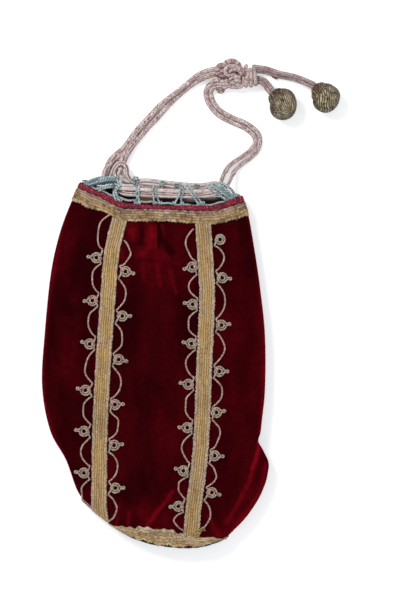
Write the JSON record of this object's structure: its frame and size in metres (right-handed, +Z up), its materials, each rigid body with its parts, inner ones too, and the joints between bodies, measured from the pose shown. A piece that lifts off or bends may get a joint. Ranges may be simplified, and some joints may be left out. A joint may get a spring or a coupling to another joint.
{
  "type": "tefillin bag",
  "caption": "Drawstring bag of velvet with braid trim, lying flat, with an opening mouth, knotted cords and covered ball ends.",
  "frame": {"origin": "under the middle of the bag, without its free cords, on the surface that it lies on", "axes": "+Z up, +Y from the base to the mouth, +X to the right seen from above"},
  "size_m": [0.1785, 0.2931, 0.0264],
  "materials": {
    "velvet": "deep pile, soft sheen",
    "lining": "plain weave, matt",
    "base_cloth": "satin weave",
    "gold_braid": "woven gilt thread, worn",
    "tape": "ribbed silk",
    "loop_thread": "twisted silk",
    "scroll": "wrapped gilt cord",
    "cord": "braided silk with metal thread",
    "ball_thread": "wound tarnished metal thread",
    "wood": "bare turned wood"
  },
  "bodies": {
    "root": {"velvet_back": "velvet", "lining_back": "lining", "base_cloth": "base_cloth", "base_braid_back": "gold_braid", "mouth_band_back": "gold_braid", "mouth_tape_back": "tape", "mouth_edging_back": "loop_thread", "rim_loop_back_1": "loop_thread", "rim_loop_back_2": "loop_thread", "rim_loop_back_3": "loop_thread", "rim_loop_back_4": "loop_thread", "galloon_back_left": "gold_braid", "galloon_back_right": "gold_braid", "drawstring_a_in_mouth": "cord", "drawstring_b_in_mouth": "cord"},
    "bag_front": {"velvet_front": "velvet", "lining_front": "lining", "base_braid_front": "gold_braid", "mouth_band_front": "gold_braid", "mouth_tape_front": "tape", "mouth_edging_front": "loop_thread", "rim_loop_front_1": "loop_thread", "rim_loop_front_2": "loop_thread", "rim_loop_front_3": "loop_thread", "rim_loop_front_4": "loop_thread", "rim_loop_front_5": "loop_thread", "rim_loop_front_6": "loop_thread", "galloon_front_left": "gold_braid", "galloon_front_right": "gold_braid", "scroll_cord_left_outer": "scroll", "scroll_cord_left_inner": "scroll", "scroll_cord_right_inner": "scroll", "scroll_cord_right_outer": "scroll"},
    "carry_cords": {"drawstring_left_leg_outer": "cord", "drawstring_left_leg_inner": "cord", "drawstring_right_leg_inner": "cord", "drawstring_right_leg_outer": "cord"},
    "knot": {"drawstring_knot": "cord"},
    "tail_left": {"tail_left_strand_1": "cord", "tail_left_strand_2": "cord", "ball_left_cover": "ball_thread", "ball_left_core": "wood"},
    "tail_right": {"tail_right_strand_1": "cord", "tail_right_strand_2": "cord", "ball_right_cover": "ball_thread", "ball_right_core": "wood"}
  },
  "joints": [
    {"name": "mouth_open", "type": "hinge", "parent": "root", "child": "bag_front", "pos_m": [0, -0.112, 0.016], "axis": [1, 0, 0], "range_deg": [0, 7], "deforming": ["drawstring_a_in_mouth", "drawstring_b_in_mouth"]},
    {"name": "drawstring_lift", "type": "hinge", "parent": "root", "child": "carry_cords", "pos_m": [0.0095, 0.1122, 0.003], "axis": [0.9984, -0.0564, 0], "range_deg": [0, 90]},
    {"name": "drawstring_slide", "type": "slide", "parent": "carry_cords", "child": "knot", "axis": [-0.5621, -0.8271, 0], "range_m": [0, 0.012], "deforming": ["drawstring_left_leg_outer", "drawstring_left_leg_inner", "drawstring_right_leg_inner", "drawstring_right_leg_outer"]},
    {"name": "ball_left_swing", "type": "hinge", "parent": "knot", "child": "tail_left", "pos_m": [0.0602, 0.1664, 0.0045], "axis": [0, 0, 1], "range_deg": [-10, 6]},
    {"name": "ball_right_swing", "type": "hinge", "parent": "knot", "child": "tail_right", "pos_m": [0.0607, 0.1732, 0.0045], "axis": [0, 0, 1], "range_deg": [-6, 30]}
  ],
  "couplings": [
    {"joint": "drawstring_slide", "follows": "mouth_open", "m_per_rad": 0.098}
  ]
}
